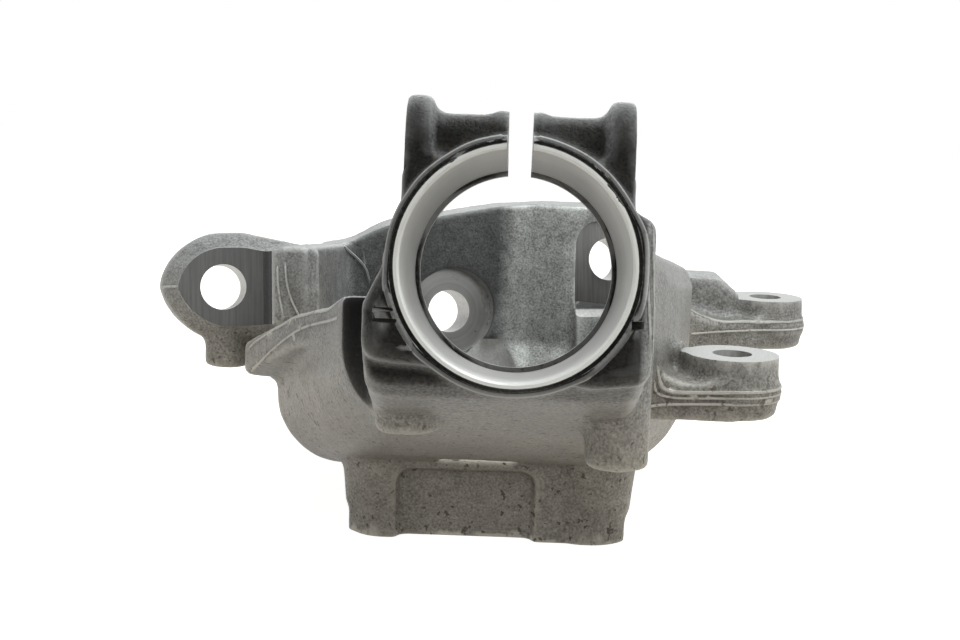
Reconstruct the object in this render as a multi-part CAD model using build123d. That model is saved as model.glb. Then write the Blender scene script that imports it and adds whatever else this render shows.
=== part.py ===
from build123d import *
import math
import os

# Steering knuckle: one aluminium casting. Millimetres, +Z is inboard along the wheel axis.
# The origin is the centre of the wheel-bearing bore on the carrier's mounting face.
# -Y is towards the strut clamp (the knuckle's upper end on the car), +Y towards the ball joints.

# ---- wheel-bearing carrier ----
BEARING_BORE = 80.0          # pilot bore for the bearing unit
CARRIER_HALF = 47.5          # half width over the flat sides, at the foot of the draft
CARRIER_FRONT = 50.0         # wheel axis to the front, beside its panel
PANEL_DEPTH = 4.5            # recess of the front panel
PANEL_LEFT, PANEL_RIGHT = -30.0, 15.5
PANEL_TOP = 23.8
PANEL_CORNER = 4.0
CARRIER_TOP = 28.0           # inner floor that the bearing bolts clamp on
CARRIER_DRAFT = 5.0          # degrees, sides widen inboard
MILLED_HEIGHT = 8.5          # both sides are milled back over this height
MILLED_STEP = 1.6
BOLT_PITCH = BEARING_BORE - 9.0      # square pattern of the four bearing bolts
BOLT_HOLE = 12.5
BOLT_BOSS = 12.5             # radius of a corner boss
SENSOR_BOSS = 15.0           # radius of the heavier front boss
BOLT_SEAT = 10.5             # spot-face radius
BOLT_SEAT_DEPTH = 1.5

# ---- shell around the driveshaft joint ----
SHELL_FLOOR = 14.0           # underside of the shell beside the carrier
SHELL_SIDE = 76.0            # wheel axis to the outer wall
SHELL_WALL = 10.0
SHELL_REAR = 121.0           # wheel axis to the outside of the far wall
SHELL_CROWN = 130.0          # working height, trimmed by the rims
FLOOR_RADIUS = 24.0          # outer floor corner
CALIPER_FLOOR_RADIUS = 33.0  # the same on the caliper side
NEAR_CAVITY = SHELL_SIDE - 13        # inner radius on the strut side
CAVITY_CORNER = 14.0
CAVITY_SLOPE = 12.0          # height of the sloped inner floor corner
CAVITY_TAPER = 38.0          # degrees

# ---- strut clamp ----
STRUT_BORE = 55.0
STRUT_YAW = -1.4             # degrees, strut axis turned about Z
STRUT_DROP = 8.6             # degrees, strut axis falls towards the ball joints
CLAMP_FACE = (3.4, -181.9, 108.6)    # bore centre on the milled end face
CLAMP_LENGTH = 61.0
CLAMP_WALL = 5.8             # at the parting
RING_FACE = 2.0              # width of the milled ring face
CLAMP_LIP = 1.3              # the shoulder at the bore's far end
CLAMP_LIP_WIDTH = 2.5
BORE_CHAMFER = 0.8
SLIT_WIDTH = 6.2
LEFT_FLANK = 36.0
RIGHT_FLANK = 33.0
FLANK_SHOULDER = 13.0        # height over the strut axis where flank meets ring

# ---- clamp bolt ears ----
PINCH_RISE = 31.4            # bolt axis over the strut axis
PINCH_HOLE = 10.5
PINCH_NECK = 7.6             # radius of the bolt barrel
PINCH_HEAD = 12.0            # radius of the head seat
PINCH_SPAN = 28.6            # slit centre to the outside of a head seat
PINCH_SEAT = 6.2             # head seat thickness

# ---- ball-joint and tie-rod seats, whose stud axes run parallel ----
STUD_YAW = 15.0
STUD_DROP = 9.0
STUD_LENGTH = 21.0
STUD_BOSS = 15.0             # radius of a stud hole's far boss and spot face
TIE_ROD_HOLE = 16.0
TIE_ROD_CENTRE = (-95.0, -8.9, 76.1)
TIE_ROD_OUTER = 19.6
TIE_ROD_FACE = 13.4          # half height of the milled face
TIE_ROD_CONE = 8.0           # depth over which the lug grows from its face to full size
TIE_ROD_STEP = 17.6          # hole centre to the wall of the milled step
BALL_HOLE = 18.0
MID_BALL_CENTRE = (-17.9, 101.8, 53.0)
MID_BALL_SEAT = 18.0         # spot-face radius
REAR_BALL_CENTRE = (49.6, 105.7, 77.2)
REAR_BALL_SEAT = (16.2, 15.8, 21.0)  # seat's reach to the left, up and down from the hole
REAR_SEAT_CORNER = 10.0
SILL_LENGTH = 34.0           # ledge under the rear seat
SILL_DEPTH = 16.0
SILL_PROUD = 5.0
RELIEF_RADIUS = 12.0         # upright cutter run-out in the far wall
RELIEF_CENTRE = (0.5, 90.0)
RELIEF_TOP = 42.0
STUB_BOSS = 8.2              # radius of the pad under the tie-rod lug
STUB_BOTTOM = 46.8

# ---- brake-caliper ears ----
CALIPER_HOLE = 12.0
CALIPER_FACE = 71.4          # height of both milled ear faces
CALIPER_EAR = 14.6           # ear radius
CALIPER_THICK = 18.4
CALIPER_NEAR = (72.8, -79.8)
CALIPER_FAR = (106.1, 48.1)
FLASH_LOW = 12.6             # parting bands under the milled face
FLASH_HIGH = 8.8
FLASH_PROUD = 0.9
CALIPER_SADDLE = 7.0         # web lies this far under the face
SADDLE_RISE = 4.0            # and rises to this height over it at its root
NEAR_ROOT = ((44.0, -94.2), (58.0, -52.0))
FAR_ROOT = ((68.0, 20.0), (66.0, 72.0))

# ---- pads under the clamp ----
PAD_RADIUS = 8.6
RIGHT_PAD = (33.2, -140.0)
RIGHT_PAD_BOTTOM = 50.5
LEFT_PAD = (-23.0, -140.0)
LEFT_PAD_BOTTOM = 58.5

# ---- rims and transitions ----
CHANNEL_CLEARANCE = 2.5
FRONT_EDGE = 3.4
PROFILE_CORNER = 4.0
RAMP_FRONT = 74.0            # underside of the clamp block behind its front edge
RAMP_REAR = 54.5             # the same where the shell's walls begin
RIM_LEFT_CLAMP = 92.0        # rim heights
RIM_NOSE = 58.5
RIM_RIGHT_CLAMP = 110.0
RIM_RIGHT = 92.0
RIM_FAR = 80.5               # rim where the far arm leaves it
RIM_CROWN = 3.0              # bow of the low rim between clamp and nose
RIM_BEND = 10.0              # outer corner of the rim on the caliper side
NOSE_X = -83.2
NOSE_Y = -27.0
NOSE_THICK = 10.6
ARM_FRONT = -8.0             # near end of the steering arm's wall
ARM_TOP = 91.0
FAR_START = 72.0             # where the far wall's own crown takes over
FAR_LEFT = 83.5
FAR_TOP = 100.0


def away(yaw, drop):
    """Unit vector that points away from the strut end, turned left by yaw and lowered by drop."""
    a, b = math.radians(yaw), math.radians(drop)
    return Vector(-math.sin(a) * math.cos(b), math.cos(a) * math.cos(b), -math.sin(b))


def seat_plane(centre, yaw, drop):
    """Plane of a milled seat: its normal faces the strut end, its X stays level."""
    a = math.radians(yaw)
    return Plane(origin=centre, x_dir=(math.cos(a), math.sin(a), 0), z_dir=-away(yaw, drop))


CLAMP = seat_plane(CLAMP_FACE, STRUT_YAW, STRUT_DROP)
TIE_ROD = seat_plane(TIE_ROD_CENTRE, STUD_YAW, STUD_DROP)
MID_BALL = seat_plane(MID_BALL_CENTRE, STUD_YAW, STUD_DROP)
REAR_BALL = seat_plane(REAR_BALL_CENTRE, STUD_YAW, STUD_DROP)
CLAMP_REAR = CLAMP_FACE[1] + CLAMP_LENGTH - 4      # station where the shell's walls begin
BORE_RADIUS = STRUT_BORE / 2


def drum(plane, radius, top, bottom):
    """Cylinder on a seat plane from offset bottom to offset top along its normal."""
    return extrude(plane.offset(bottom) * Circle(radius), top - bottom)


def along_x(points, start, end):
    """Prism with a side profile given as (y, z) points, from x = start to x = end."""
    return extrude(Plane.YZ.offset(start) * make_face(Polyline(*points, close=True)), end - start)


def along_y(points, start, end):
    """Prism with a front profile given as (x, z) points, from y = start to y = end."""
    front = Plane(origin=(0, start, 0), x_dir=(1, 0, 0), z_dir=(0, -1, 0))
    return extrude(front * make_face(Polyline(*points, close=True)), start - end)


def along_z(points, bottom, top, radius=0):
    """Vertical prism with a plan given as (x, y) points."""
    plan = make_face(Polyline(*points, close=True))
    if radius:
        plan = fillet(plan.vertices(), radius)
    return extrude(Pos(0, 0, bottom) * plan, top - bottom)


def trough(y, left, right, bottom, left_radius, right_radius, ease=fillet):
    """U-shaped cross-section of the shell, open upwards, at the station y."""
    station = Plane(origin=(0, y, 0), x_dir=(1, 0, 0), z_dir=(0, -1, 0))
    width, height = right - left, SHELL_CROWN - bottom
    outline = Pos((left + right) / 2, bottom + height / 2) * Rectangle(width, height)
    low = outline.vertices().sort_by(Axis.Y)[:2].sort_by(Axis.X)
    outline = ease(low[0], left_radius)
    low = outline.vertices().sort_by(Axis.X)[-2:].sort_by(Axis.Y)[0]
    return station * ease(low, right_radius)


def shell_outside():
    """Trough that widens from the strut clamp to the bowl and closes on the far wall."""
    left, right = -SHELL_SIDE, SHELL_SIDE - 7
    stations = [
        trough(CLAMP_REAR, -LEFT_FLANK - 6, RIGHT_FLANK + 6.6, RAMP_REAR, FLOOR_RADIUS, FLOOR_RADIUS),
        trough(-72, left + 19, right - 13, SHELL_FLOOR + 20, FLOOR_RADIUS, CALIPER_FLOOR_RADIUS),
        trough(-20, left + 2, right - 1, SHELL_FLOOR + 3, FLOOR_RADIUS, CALIPER_FLOOR_RADIUS),
        trough(30, left, right, SHELL_FLOOR, FLOOR_RADIUS, CALIPER_FLOOR_RADIUS),
        trough(80, left + 6, right - 2, SHELL_FLOOR + 4, FLOOR_RADIUS, CALIPER_FLOOR_RADIUS),
        trough(SHELL_REAR, left + 24, right - 8, SHELL_FLOOR + 22, FLOOR_RADIUS, CALIPER_FLOOR_RADIUS),
    ]
    return loft(stations, ruled=True)


def low_rim(end):
    """Side profile of the low rim on the tie-rod side, from the clamp past the nose to the arm."""
    crown = ((CLAMP_REAR + NOSE_Y) / 2, (RIM_LEFT_CLAMP + RIM_NOSE) / 2 + RIM_CROWN)
    return [(CLAMP_REAR, RIM_LEFT_CLAMP), crown, (NOSE_Y, RIM_NOSE), (end, RIM_NOSE - 3)]


def above_rims():
    """Air over the shell's rims: low on the tie-rod side, high on the caliper side and the far wall."""
    left = along_x([(CLAMP_REAR - 60, SHELL_CROWN + 5), (CLAMP_REAR - 60, RIM_LEFT_CLAMP + 20),
                    *low_rim(ARM_FRONT), (ARM_FRONT, ARM_TOP), (FAR_START, FAR_LEFT),
                    (FAR_START, SHELL_CROWN + 5)], -120, -1)
    right = along_x([(CLAMP_REAR - 60, SHELL_CROWN + 5), (CLAMP_REAR - 60, RIM_RIGHT_CLAMP + 13),
                     (CLAMP_REAR, RIM_RIGHT_CLAMP), (-20, RIM_RIGHT), (20, RIM_FAR),
                     (FAR_START, RIM_FAR), (FAR_START, SHELL_CROWN + 5)], -1, 120)
    far = along_y([(-120, SHELL_CROWN + 5), (-120, FAR_LEFT), (-60, FAR_LEFT), (-45, FAR_TOP - 10),
                   (0, FAR_TOP - 1.5), (20, FAR_TOP), (42, FAR_TOP), (66, RIM_FAR),
                   (120, RIM_FAR), (120, SHELL_CROWN + 5)], FAR_START, SHELL_REAR + 10)
    return left + right + far


def rim_corner():
    """Air over the bevelled outer corner of the rim on the caliper side."""
    corners = []
    for y, outer, top in ((CLAMP_REAR - 10, RIGHT_FLANK + 7, RIM_RIGHT_CLAMP + 2),
                          (-20, SHELL_SIDE - 7.6, RIM_RIGHT + 0.5), (22, SHELL_SIDE - 7, RIM_FAR + 6)):
        station = Plane(origin=(0, y, 0), x_dir=(1, 0, 0), z_dir=(0, -1, 0))
        long, short = RIM_BEND, RIM_BEND * (1 - math.sqrt(0.5))
        air = Polyline((outer - long, top), (outer - short, top - short), (outer, top - long),
                       (outer + long, top - long), (outer + long, top + long), (outer - long, top + long),
                       close=True)
        corners.append(station * make_face(air))
    return loft(corners, ruled=True)


def cavity():
    """Room for the driveshaft joint: a straight-drawn pocket with a sloped floor corner."""
    side = SHELL_SIDE - SHELL_WALL
    plan = Polyline((-side, 0), (-side + 7, 84), (6, 100.5), (17, 102.5), (side - 35, 97), (side - 14, 102),
                    (side - 9, 80), (side - 7, 0))
    near = ThreePointArc((side - 7, 0), (0, -NEAR_CAVITY), (-side, 0))
    face = make_face(Curve() + plan + near)
    far = [v for v in face.vertices() if v.Y > 70 and not 0 < v.X < side - 40]
    face = fillet(far, CAVITY_CORNER)
    room = extrude(Pos(0, 0, CARRIER_TOP + CAVITY_SLOPE) * face, SHELL_CROWN)
    return room + extrude(Pos(0, 0, CARRIER_TOP + CAVITY_SLOPE) * face, -CAVITY_SLOPE, taper=CAVITY_TAPER)


def throat():
    """Trough between clamp and bowl; it keeps the wall even where the shell narrows."""
    wall, bevel = SHELL_WALL, CAVITY_SLOPE
    stations = [
        (CLAMP_REAR + 14, -LEFT_FLANK + 6, RIGHT_FLANK - 4, RAMP_REAR + 16),
        (-72, -SHELL_SIDE + 19 + wall, SHELL_SIDE - 20 - wall, SHELL_FLOOR + 23 + wall),
        (-22, -SHELL_SIDE + 3 + wall, SHELL_SIDE - 8 - wall, CARRIER_TOP + 1),
    ]
    return loft([trough(*size, bevel, bevel, chamfer) for size in stations], ruled=True)


def strut_channel():
    """Clearance behind the clamp, where the strut's tube ends over the joint, open upwards."""
    start, reach = CLAMP_LENGTH - 1, 75
    radius = BORE_RADIUS + CHANNEL_CLEARANCE
    tube = extrude(CLAMP.offset(-start) * Circle(radius), -reach)
    slot = extrude(CLAMP.offset(-start) * Pos(0, 40) * Rectangle(2 * radius, 80), -reach)
    return tube + slot


def carrier():
    """Bearing carrier: a square block with a boss at each bolt and a turned lower end."""
    half = BOLT_PITCH / 2
    block = RectangleRounded(2 * CARRIER_HALF - 3, 2 * CARRIER_FRONT, 12)
    plan = block + [Pos(x, y) * Circle(BOLT_BOSS) for x in (-half, half) for y in (-half, half)]
    plan += Pos(half - 2, -half - 1) * Circle(SENSOR_BOSS)
    high = extrude(Pos(0, 0, MILLED_HEIGHT) * plan, CARRIER_TOP - MILLED_HEIGHT, taper=-CARRIER_DRAFT)
    width = BOLT_PITCH + 2 * (BOLT_BOSS - MILLED_STEP)
    low = extrude(plan & Rectangle(width, 4 * CARRIER_FRONT), MILLED_HEIGHT)
    return high + low


def front_panel():
    """Recess in the carrier's front, open at the mounting face, with rounded upper corners."""
    front = Plane(origin=(0, -CARRIER_FRONT - SENSOR_BOSS, 0), x_dir=(1, 0, 0), z_dir=(0, -1, 0))
    width, height = PANEL_RIGHT - PANEL_LEFT, PANEL_TOP + 1
    outline = Pos((PANEL_LEFT + PANEL_RIGHT) / 2, height / 2 - 1) * Rectangle(width, height)
    outline = fillet(outline.vertices().group_by(Axis.Y)[-1], PANEL_CORNER)
    return extrude(front * outline, -SENSOR_BOSS - PANEL_DEPTH)


def clamp_ring():
    """Barrel-shaped ring of the strut clamp: thin at its milled face, fullest at the parting."""
    face = BORE_RADIUS + RING_FACE
    full = BORE_RADIUS + CLAMP_WALL
    outline = [(0, 0), (face, 0), (face + 1.5, -1.5), (face + 1.7, -10), (full, -CLAMP_LENGTH / 2 + 5),
               (full, -CLAMP_LENGTH / 2 - 5), (face + 1.5, -CLAMP_LENGTH), (0, -CLAMP_LENGTH)]
    half_plane = Plane(origin=CLAMP.origin, x_dir=CLAMP.x_dir, z_dir=-CLAMP.y_dir)
    return revolve(half_plane * make_face(Polyline(*outline, close=True)), Axis(CLAMP.origin, CLAMP.z_dir))


def clamp_flanks():
    """Pads beside the bore; their front edges are bevelled down from the milled face."""
    ring = BORE_RADIUS + RING_FACE
    left = Polyline((-ring + 2, FLANK_SHOULDER - 5), (-LEFT_FLANK, -10), (-LEFT_FLANK, -23),
                    (-16, -25), (-8, -8), close=True)
    right = Polyline((ring - 9, FLANK_SHOULDER), (RIGHT_FLANK, FLANK_SHOULDER), (RIGHT_FLANK, -27),
                     (16, -29), (8, -8), close=True)
    pads = []
    for outline in (left, right):
        pad = make_face(outline)
        outer = pad.vertices().sort_by_distance((0, 0))[2:]
        body = extrude(CLAMP * fillet(outer, PROFILE_CORNER), -CLAMP_LENGTH)
        front = body.faces().sort_by(Axis(CLAMP.origin, CLAMP.z_dir))[-1]
        pads.append(chamfer(front.edges(), FRONT_EDGE))
    return pads


def clamp_block():
    """Solid block under the bore; its underside ramps down to the bearing carrier."""
    front = CLAMP_FACE[1]
    side = [(front + 1, 98), (front + 7, RAMP_FRONT + 4), (front + 12, RAMP_FRONT), (CLAMP_REAR, RAMP_REAR),
            (CLAMP_REAR + 18, RAMP_REAR - 4), (CLAMP_REAR + 18, 88), (front + 4, 98)]
    left, right = CLAMP_FACE[0] - LEFT_FLANK, CLAMP_FACE[0] + RIGHT_FLANK
    block = along_x(side, left, right)
    low = [e for e in block.edges() if e.center().Z < 84 and e.length < 65 and
           min(abs(e.center().X - left), abs(e.center().X - right)) < 0.5]
    return fillet(low, 5)


def pinch_ears():
    """Two bolt barrels with head seats, split by the clamp slit."""
    middle = CLAMP.offset(-CLAMP_LENGTH / 2)
    ears = []
    for side in (-1, 1):
        bolt = Plane(origin=middle.from_local_coords((0, PINCH_RISE, 0)), x_dir=middle.y_dir,
                     z_dir=middle.x_dir * side)
        barrel = extrude(bolt * Circle(PINCH_NECK), PINCH_SPAN)
        tip = extrude(bolt * Circle(PINCH_NECK + 1), 6)
        head = extrude(bolt.offset(PINCH_SPAN - PINCH_SEAT) * Circle(PINCH_HEAD), PINCH_SEAT)
        cheek = middle * Pos(side * (PINCH_SPAN - PINCH_SEAT / 2), PINCH_RISE - 13, 0) * Box(
            PINCH_SEAT, 26, 2 * PINCH_HEAD)
        web = middle * Pos(side * PINCH_SPAN / 2, PINCH_RISE - 8, 0) * Box(PINCH_SPAN, 16, PINCH_NECK)
        ears.append(barrel + tip + head + cheek + web)
    return ears[0] + ears[1]


def caliper_ear(centre, root):
    """Upright ear for one caliper bolt, joined to the shell by a web that is lower than its face."""
    x, y = centre
    bottom, top = CALIPER_FACE - CALIPER_THICK, CALIPER_FACE
    parting = CALIPER_FACE - FLASH_HIGH
    post = Pos(x, y, parting) * extrude(Circle(CALIPER_EAR), top - parting, taper=3)
    post += Pos(x, y, parting) * extrude(Circle(CALIPER_EAR), bottom - parting, taper=3)
    inner = min(root[0][0], root[1][0])
    web = along_z([(x, y - CALIPER_EAR), (x, y + CALIPER_EAR), root[1], root[0]], bottom, top + SADDLE_RISE)
    low = x - CALIPER_EAR + 2
    side = Plane(origin=(0, y + 60, 0), x_dir=(1, 0, 0), z_dir=(0, -1, 0))
    middle = (inner + (low - inner) * 0.36, top - CALIPER_SADDLE * 0.55)
    hollow = ThreePointArc((inner, top + SADDLE_RISE), middle, (low, top - CALIPER_SADDLE))
    rest = Polyline((low, top - CALIPER_SADDLE), (x + CALIPER_EAR, top - CALIPER_SADDLE),
                    (x + CALIPER_EAR, bottom), (inner, bottom), (inner, top + SADDLE_RISE))
    web &= extrude(side * make_face(Curve() + hollow + rest), 120)
    band = extrude(Circle(CALIPER_EAR + FLASH_PROUD), FLASH_LOW - FLASH_HIGH)
    band = Pos(x, y, CALIPER_FACE - FLASH_LOW) * band
    return post + web + band


def lug_outline(plane, half, tip):
    """Lug profile: round at the tip, straight where it runs into the arm."""
    end = TIE_ROD_STEP + 14
    upper = ThreePointArc((0, half), (-0.69 * tip, 0.67 * half), (-tip, 0))
    arc = upper + ThreePointArc((-tip, 0), (-0.66 * tip, -0.62 * half), (0, -half))
    sides = Polyline((0, -half), (end, -half + 1), (end, half - 5), (8, half), (0, half))
    return plane * make_face(Curve() + arc + sides)


def far_arm():
    """Arm that carries the far caliper ear; it falls from the rim to the milled face."""
    x, y = CALIPER_FAR
    root, bottom = SHELL_SIDE - 20, CALIPER_FACE - CALIPER_THICK
    fall = [(root, bottom), (x, bottom), (x, CALIPER_FACE), (x - 11, CALIPER_FACE + 1),
            (x - 19, RIM_FAR - 1), (root, RIM_FAR)]
    return along_y(fall, y - 10, y + 10)


def tie_rod_lug():
    """Steering-arm end: a lug coned down to its milled face, with a step to the arm and a pad beneath."""
    grown = TIE_ROD.offset(-TIE_ROD_CONE)
    cone = loft([lug_outline(grown, TIE_ROD_OUTER, TIE_ROD_OUTER + 1.5),
                 lug_outline(TIE_ROD, TIE_ROD_FACE, TIE_ROD_FACE + 2)])
    cone += extrude(lug_outline(grown, TIE_ROD_OUTER, TIE_ROD_OUTER + 1.5), TIE_ROD_CONE - STUD_LENGTH)
    x, y, z = TIE_ROD_CENTRE
    stub = Pos(x + 0.5, y + STUD_LENGTH / 2 - 2, STUB_BOTTOM) * extrude(Circle(STUB_BOSS), z - STUB_BOTTOM)
    near = Box(16, 2 * TIE_ROD_FACE, STUD_LENGTH + 4)
    return cone + stub + TIE_ROD * Pos(TIE_ROD_STEP + 8, 0, -STUD_LENGTH / 2 + 2) * near


def underside_bosses():
    """Two upright pads under the clamp block."""
    right = Pos(*RIGHT_PAD, RIGHT_PAD_BOTTOM) * extrude(Circle(PAD_RADIUS), 95 - RIGHT_PAD_BOTTOM)
    left = Pos(*LEFT_PAD, LEFT_PAD_BOTTOM) * extrude(Circle(PAD_RADIUS), 85 - LEFT_PAD_BOTTOM)
    return [right, left]


def rear_sill():
    """Ledge under the rear ball-joint seat, proud of the seat's face."""
    left, _, down = REAR_BALL_SEAT
    return REAR_BALL * Pos(SILL_LENGTH / 2 - left, -down - SILL_DEPTH / 2, 0) * Box(
        SILL_LENGTH, SILL_DEPTH, 2 * SILL_PROUD)


def nose_lip():
    """Flange along the low rim on the tie-rod side, widest at its rounded nose."""
    plan = make_face(Polyline((-LEFT_FLANK - 4, CLAMP_REAR + 8), (NOSE_X, NOSE_Y - 9), (NOSE_X, NOSE_Y + 8),
                              (-SHELL_SIDE + 4, NOSE_Y + 16), (-SHELL_SIDE + 14, NOSE_Y - 5), close=True))
    plan = fillet(plan.vertices().sort_by(Axis.X)[:2], 6)
    top = low_rim(ARM_FRONT + 1)
    low = [(y, z - NOSE_THICK) for y, z in reversed(top)]
    return extrude(Pos(0, 0, 30) * plan, 90) & along_x(top + low, -120, 0)


def clamp_cuts():
    """Clamp bore with its end shoulder, milled end face, slit and clamp-bolt hole."""
    air = extrude(CLAMP * Rectangle(200, 200), 40)
    bore = drum(CLAMP, BORE_RADIUS, 1, -CLAMP_LENGTH + CLAMP_LIP_WIDTH)
    lip = drum(CLAMP, BORE_RADIUS - CLAMP_LIP, 1, -CLAMP_LENGTH - 1)
    bevel = loft([CLAMP * Circle(BORE_RADIUS + BORE_CHAMFER),
                  CLAMP.offset(-BORE_CHAMFER) * Circle(BORE_RADIUS)])
    slit = CLAMP * Pos(0, 40, -CLAMP_LENGTH / 2) * Box(SLIT_WIDTH, 80, CLAMP_LENGTH + 6)
    middle = CLAMP.offset(-CLAMP_LENGTH / 2)
    bolt = Plane(origin=middle.from_local_coords((0, PINCH_RISE, 0)), x_dir=middle.y_dir, z_dir=middle.x_dir)
    hole = extrude(bolt * Circle(PINCH_HOLE / 2), PINCH_SPAN + 5, both=True)
    return [air, bore, lip, bevel, slit, hole]


def carrier_cuts():
    """Bearing bore and the four bolt holes with their spot faces."""
    cuts = [extrude(Circle(BEARING_BORE / 2), CARRIER_TOP + 1)]
    for place in GridLocations(BOLT_PITCH, BOLT_PITCH, 2, 2):
        cuts.append(place * extrude(Circle(BOLT_HOLE / 2), CARRIER_TOP + 1))
        cuts.append(place * Pos(0, 0, CARRIER_TOP - BOLT_SEAT_DEPTH) * extrude(Circle(BOLT_SEAT), 30))
    return cuts


def caliper_cuts():
    """Bolt hole and milled face of both caliper ears."""
    cuts = []
    for x, y in (CALIPER_NEAR, CALIPER_FAR):
        cuts.append(Pos(x, y, CALIPER_FACE - CALIPER_THICK - 1) * extrude(Circle(CALIPER_HOLE / 2), 60))
        cuts.append(Pos(x, y, CALIPER_FACE) * extrude(Circle(CALIPER_EAR + 1), 20))
    return cuts


def lug_cuts():
    """Stud hole of the tie rod and the milled step beside it."""
    hole = drum(TIE_ROD, TIE_ROD_HOLE / 2, 1, -STUD_LENGTH - 20)
    return [hole, TIE_ROD * Pos(TIE_ROD_STEP - 30, 0, 10) * Box(60, 60, 20)]


def ball_cuts():
    """Stud holes of the ball joints, their near seats, the spot faces behind and the cutter run-out."""
    behind = (-STUD_LENGTH, -STUD_LENGTH - 30)
    cuts = [drum(plane, STUD_BOSS, *behind) for plane in (TIE_ROD, MID_BALL, REAR_BALL)]
    cuts.append(MID_BALL * Pos(-35, 0, -STUD_LENGTH - 22) * Box(80, 160, 40))
    cuts += [drum(plane, BALL_HOLE / 2, 1, -STUD_LENGTH - 20) for plane in (MID_BALL, REAR_BALL)]
    cuts.append(drum(MID_BALL, MID_BALL_SEAT, 30, 0))
    left, up, down = REAR_BALL_SEAT
    seat = make_face(Polyline((-left, up), (24, up), (24, -down), (-left, -down), close=True))
    seat = fillet(seat.vertices().sort_by(Axis.X)[:2].sort_by(Axis.Y)[-1], REAR_SEAT_CORNER)
    cuts.append(extrude(REAR_BALL * seat, 14))
    cuts.append(Pos(*RELIEF_CENTRE, CARRIER_TOP) * extrude(Circle(RELIEF_RADIUS), RELIEF_TOP - CARRIER_TOP))
    return cuts


def knuckle():
    casting = shell_outside()
    casting += [nose_lip()]
    casting -= [above_rims(), rim_corner()]
    casting += carrier() - front_panel()
    casting += clamp_block()
    casting -= cavity()
    casting -= [throat(), strut_channel()]
    casting += [clamp_ring(), *clamp_flanks(), pinch_ears(), tie_rod_lug(), *underside_bosses()]
    casting += [drum(plane, STUD_BOSS, -6, -STUD_LENGTH) for plane in (MID_BALL, REAR_BALL)]
    casting += rear_sill()
    casting += caliper_ear(CALIPER_NEAR, NEAR_ROOT)
    casting += [caliper_ear(CALIPER_FAR, FAR_ROOT), far_arm()]
    casting -= clamp_cuts() + carrier_cuts() + caliper_cuts() + lug_cuts() + ball_cuts()
    return casting


casting = knuckle()
print("volume", casting.volume, "solids", len(casting.solids()))
os.makedirs("parts", exist_ok=True)
export_step(casting, "parts/knuckle_casting.step")
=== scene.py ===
import math
import bmesh
import bpy
import numpy as np
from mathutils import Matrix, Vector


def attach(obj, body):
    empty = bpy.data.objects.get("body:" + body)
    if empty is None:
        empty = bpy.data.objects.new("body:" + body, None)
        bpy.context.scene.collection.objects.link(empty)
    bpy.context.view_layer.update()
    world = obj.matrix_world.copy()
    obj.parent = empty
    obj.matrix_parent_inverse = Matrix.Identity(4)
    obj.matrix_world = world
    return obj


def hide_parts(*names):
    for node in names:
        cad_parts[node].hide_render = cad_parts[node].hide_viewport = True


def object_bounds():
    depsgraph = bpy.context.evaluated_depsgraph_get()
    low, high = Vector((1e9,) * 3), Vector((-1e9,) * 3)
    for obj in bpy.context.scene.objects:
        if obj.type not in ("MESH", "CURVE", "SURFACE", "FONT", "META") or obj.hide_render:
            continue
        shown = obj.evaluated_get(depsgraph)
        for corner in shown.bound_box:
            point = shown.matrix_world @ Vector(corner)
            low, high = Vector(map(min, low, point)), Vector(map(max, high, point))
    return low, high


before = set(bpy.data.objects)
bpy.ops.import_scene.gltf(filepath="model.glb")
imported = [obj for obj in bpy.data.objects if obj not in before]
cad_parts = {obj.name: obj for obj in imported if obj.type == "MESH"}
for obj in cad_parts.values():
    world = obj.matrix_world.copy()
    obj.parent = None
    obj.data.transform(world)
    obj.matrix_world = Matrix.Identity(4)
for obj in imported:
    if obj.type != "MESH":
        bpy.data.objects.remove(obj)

import openvdb
from mathutils import Matrix, Vector, noise
from mathutils.bvhtree import BVHTree

# Looks for the steering knuckle. Sizes are in millimetres and become metres in the helpers.
# The casting is rebuilt as the foundry leaves it, with stock on every milled face and no holes.
# It is softened like a casting, and then machined with the part's own cuts.

MM = 0.001
CAD_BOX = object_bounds()
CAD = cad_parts["knuckle_casting"]
VOXEL = 0.9
TRIANGLES = 168000
FILLET = 2.4                 # radius left in the casting's hollow corners
ROUND = 0.7                  # radius left on its outer edges
STOCK = 2.5                  # metal on a milled face before it is cut
THIN_STOCK = 0.4             # the same where a wall beside the face would show its step
STOCK_ROOT = 0.6             # depth to which stock reaches into the part, so that the two join
PLUG = 1.0                   # how much wider a bore's plug is than the bore
WAVE = 0.18                  # height of the skin's waves
SLOW_WAVES, QUICK_WAVES = 95, 260        # how closely the two sets of waves follow each other
QUICK_SHARE = 0.45           # height of the quick waves beside the slow ones
ON_SURFACE = 0.03            # a polygon this near a machined surface belongs to it
CRISP = 38                   # edges that turn by more degrees than this are drawn sharp

# ---- the part's sizes, with holes, bores and round seats by their radius ----
BORE = 27.5                  # strut bore
CLAMP_LENGTH = 61.0
CLAMP_LIP = 1.3              # how far the lip at the bore's inner end stands in
CLAMP_LIP_WIDTH = 2.5
BORE_CHAMFER = 0.8
MOUTH = 1.4                  # width of the turned face round the bore
MOUTH_DEPTH = 0.25
SLIT_WIDTH = 6.2
PINCH_RISE = 31.4            # clamp bolt's height over the bore's axis
PINCH_HOLE = 5.25
PINCH_SPAN = 28.6            # from the slit's middle to each head seat
PINCH_CLEAR = 10.0           # the bolt hole is full from here outwards
PINCH_FLOOR = -3.3           # and stays this near its axis over the strut bore
PINCH_HEAD = 12.0
BEARING_BORE = 40.0
CARRIER_TOP = 28.0
BOLT_HALF = 35.5
BOLT_HOLE = 6.25
BOLT_SEAT = 10.5
BOLT_SEAT_DEPTH = 1.5
STUD_LENGTH = 21.0           # from a stud seat's face to the boss behind it
STUD_BOSS = 15.0
RUN_OUT = 2.0                # depth of the cutter's run-out behind the mid ball seat
TIE_ROD_HOLE = 8.0
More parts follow.
